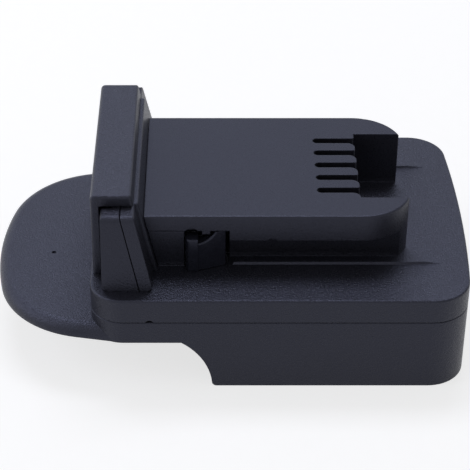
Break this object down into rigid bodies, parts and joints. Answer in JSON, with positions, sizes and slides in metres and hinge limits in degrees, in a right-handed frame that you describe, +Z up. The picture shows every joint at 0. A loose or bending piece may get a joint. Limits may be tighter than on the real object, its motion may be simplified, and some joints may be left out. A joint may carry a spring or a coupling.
{
  "type": "slide-on battery adapter",
  "caption": "Adapter that slides onto a cordless-tool battery and offers a raised tool rail with slots, a spring latch with claws and a push cap.",
  "frame": {"origin": "middle of the overall box at the foot of the skirt", "axes": "+X along the tool rail away from the tower, +Z up from the skirt's foot to the cap, Y across the rail"},
  "size_m": [0.1239, 0.078, 0.051],
  "materials": {
    "grained_nylon": "fine spark-eroded grain",
    "claw_acetal": "smooth moulded",
    "inner_nylon": "moulded",
    "steel_pins": "ground",
    "spring_wire": "drawn wire",
    "screw_steel": "zinc plated",
    "contact_brass": "stamped sheet",
    "board_green": "lacquered",
    "chip_black": "moulded",
    "capacitor_can": "drawn can",
    "red_insulation": "extruded",
    "black_insulation": "extruded",
    "yellow_insulation": "extruded"
  },
  "bodies": {
    "housing": {"lower_housing": "grained_nylon", "upper_cover": "grained_nylon", "tower_front_shell": "grained_nylon", "tower_rear_shell": "grained_nylon", "latch_retainer": "inner_nylon", "near_claw_spring": "spring_wire", "far_claw_spring": "spring_wire", "near_button_spring": "spring_wire", "far_button_spring": "spring_wire", "contact_carrier": "inner_nylon", "positive_clip": "contact_brass", "negative_clip": "contact_brass", "signal_clips": "contact_brass", "positive_blade": "contact_brass", "negative_blade": "contact_brass", "signal_blade": "contact_brass", "blade_holder": "inner_nylon", "circuit_board": "board_green", "transistors": "chip_black", "board_chips": "chip_black", "capacitor": "capacitor_can", "positive_wire": "red_insulation", "negative_wire": "black_insulation", "signal_wires": "yellow_insulation", "housing_screws": "screw_steel", "retainer_screws": "screw_steel", "carrier_screws": "screw_steel", "tower_foot_screws": "screw_steel", "tower_clamp_screws": "screw_steel", "board_screws": "screw_steel"},
    "button": {"release_button": "grained_nylon", "release_yoke": "claw_acetal", "yoke_pins": "steel_pins"},
    "near_claw": {"near_claw": "claw_acetal"},
    "far_claw": {"far_claw": "claw_acetal"}
  },
  "joints": [
    {"name": "button_press", "type": "slide", "parent": "housing", "child": "button", "axis": [1, 0, 0], "range_m": [0, 0.003], "stiffness_N_per_m": 2200, "springref_m": -0.0015, "deforming": ["near_button_spring", "far_button_spring"]},
    {"name": "near_claw_slide", "type": "slide", "parent": "housing", "child": "near_claw", "axis": [0, 1, 0], "range_m": [0, 0.0024], "stiffness_N_per_m": 600, "springref_m": -0.003, "deforming": ["near_claw_spring"]},
    {"name": "far_claw_slide", "type": "slide", "parent": "housing", "child": "far_claw", "axis": [0, -1, 0], "range_m": [0, 0.0024], "stiffness_N_per_m": 600, "springref_m": -0.003, "deforming": ["far_claw_spring"]}
  ],
  "couplings": [
    {"joint": "near_claw_slide", "follows": "button_press", "ratio": 0.8},
    {"joint": "far_claw_slide", "follows": "button_press", "ratio": 0.8}
  ]
}
